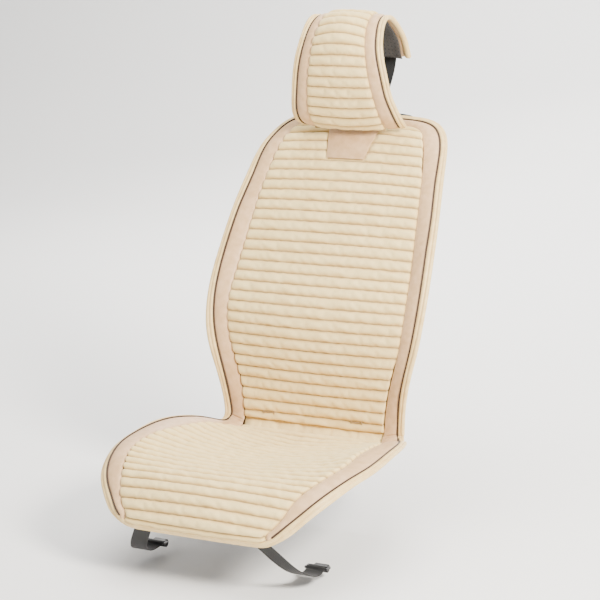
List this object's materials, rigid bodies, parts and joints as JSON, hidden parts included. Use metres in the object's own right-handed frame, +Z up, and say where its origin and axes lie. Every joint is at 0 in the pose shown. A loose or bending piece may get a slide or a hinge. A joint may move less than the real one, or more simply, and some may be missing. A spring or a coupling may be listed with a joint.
{
  "type": "car seat cover set",
  "caption": "Ribbed velvet seat cover with a backrest, a separate headrest sleeve, elastic straps, hooks and crevice anchors.",
  "frame": {"origin": "middle of the crease where the seat cushion meets the backrest, on the occupant's side of the foam line", "axes": "+X towards the seated person's left, -Y towards the front of the seat, +Z up"},
  "size_m": [0.5665, 0.811, 0.9955],
  "materials": {
    "quilt_velvet": "short-pile velvet, quilted in ribs",
    "border_leatherette": "smooth coated leatherette, satin",
    "edge_binding": "soft rolled binding, satin",
    "piping_cord": "thin dark brown cord",
    "non_slip_cloth": "knitted cloth with raised non-slip dots",
    "elastic_webbing": "woven black elastic",
    "moulded_plastic": "moulded black plastic, fine texture",
    "hook_tape": "hook tape",
    "loop_tape": "brushed loop tape"
  },
  "bodies": {
    "seat_cushion": {"seat_quilted_panel": "quilt_velvet", "seat_border_left": "border_leatherette", "seat_border_right": "border_leatherette", "seat_piping_left": "piping_cord", "seat_piping_right": "piping_cord", "seat_edge_binding": "edge_binding", "seat_non_slip_backing": "non_slip_cloth"},
    "backrest": {"back_quilted_panel": "quilt_velvet", "back_border": "border_leatherette", "back_piping": "piping_cord", "back_edge_binding": "edge_binding", "back_non_slip_backing": "non_slip_cloth", "label_patch": "border_leatherette", "anchor_strap_left": "elastic_webbing", "anchor_strap_right": "elastic_webbing", "top_strap_fixed_half": "elastic_webbing", "buckle_socket": "moulded_plastic"},
    "headrest_cover": {"headrest_quilted_panel": "quilt_velvet", "headrest_border_left": "border_leatherette", "headrest_border_right": "border_leatherette", "headrest_piping_left": "piping_cord", "headrest_piping_right": "piping_cord", "headrest_binding_left": "edge_binding", "headrest_binding_right": "edge_binding", "headrest_lining": "non_slip_cloth", "headrest_loop_tapes": "loop_tape"},
    "closure_flap": {"headrest_closure_elastics": "elastic_webbing", "headrest_hook_tapes": "hook_tape"},
    "top_strap_plug": {"top_strap_plug_half": "elastic_webbing", "buckle_plug": "moulded_plastic"},
    "front_strap_left": {"front_strap_left": "elastic_webbing"},
    "front_strap_right": {"front_strap_right": "elastic_webbing"},
    "front_hook_left": {"front_hook_left": "moulded_plastic"},
    "front_hook_right": {"front_hook_right": "moulded_plastic"},
    "anchor_disc_left": {"anchor_disc_left": "moulded_plastic"},
    "anchor_disc_right": {"anchor_disc_right": "moulded_plastic"}
  },
  "joints": [
    {"name": "back_recline", "type": "hinge", "parent": "seat_cushion", "child": "backrest", "pos_m": [0, 0, 0], "axis": [1, 0, 0], "range_deg": [-55, 26]},
    {"name": "headrest_height", "type": "slide", "parent": "backrest", "child": "headrest_cover", "axis": [0, 0.2, 0.9798], "range_m": [0, 0.08]},
    {"name": "headrest_closure", "type": "hinge", "parent": "headrest_cover", "child": "closure_flap", "pos_m": [0, 0.214, 0.621], "axis": [1, 0, 0], "range_deg": [-20, 0]},
    {"name": "buckle_release", "type": "slide", "parent": "backrest", "child": "top_strap_plug", "axis": [1, 0, 0], "range_m": [0, 0.03]},
    {"name": "front_strap_left_swing", "type": "hinge", "parent": "seat_cushion", "child": "front_strap_left", "pos_m": [0.132, -0.452, -0.062], "axis": [1, 0, 0], "range_deg": [-50, 30]},
    {"name": "front_hook_left_pivot", "type": "hinge", "parent": "front_strap_left", "child": "front_hook_left", "pos_m": [0.182, -0.344, -0.138], "axis": [1, 0, 0], "range_deg": [-70, 70]},
    {"name": "anchor_left_toggle", "type": "hinge", "parent": "backrest", "child": "anchor_disc_left", "pos_m": [0.102, 0.075, -0.027], "axis": [1, 0, 0], "range_deg": [-55, 55]},
    {"name": "front_strap_right_swing", "type": "hinge", "parent": "seat_cushion", "child": "front_strap_right", "pos_m": [-0.132, -0.452, -0.062], "axis": [1, 0, 0], "range_deg": [-50, 30]},
    {"name": "front_hook_right_pivot", "type": "hinge", "parent": "front_strap_right", "child": "front_hook_right", "pos_m": [-0.182, -0.344, -0.138], "axis": [1, 0, 0], "range_deg": [-70, 70]},
    {"name": "anchor_right_toggle", "type": "hinge", "parent": "backrest", "child": "anchor_disc_right", "pos_m": [-0.102, 0.075, -0.027], "axis": [1, 0, 0], "range_deg": [-55, 55]}
  ]
}
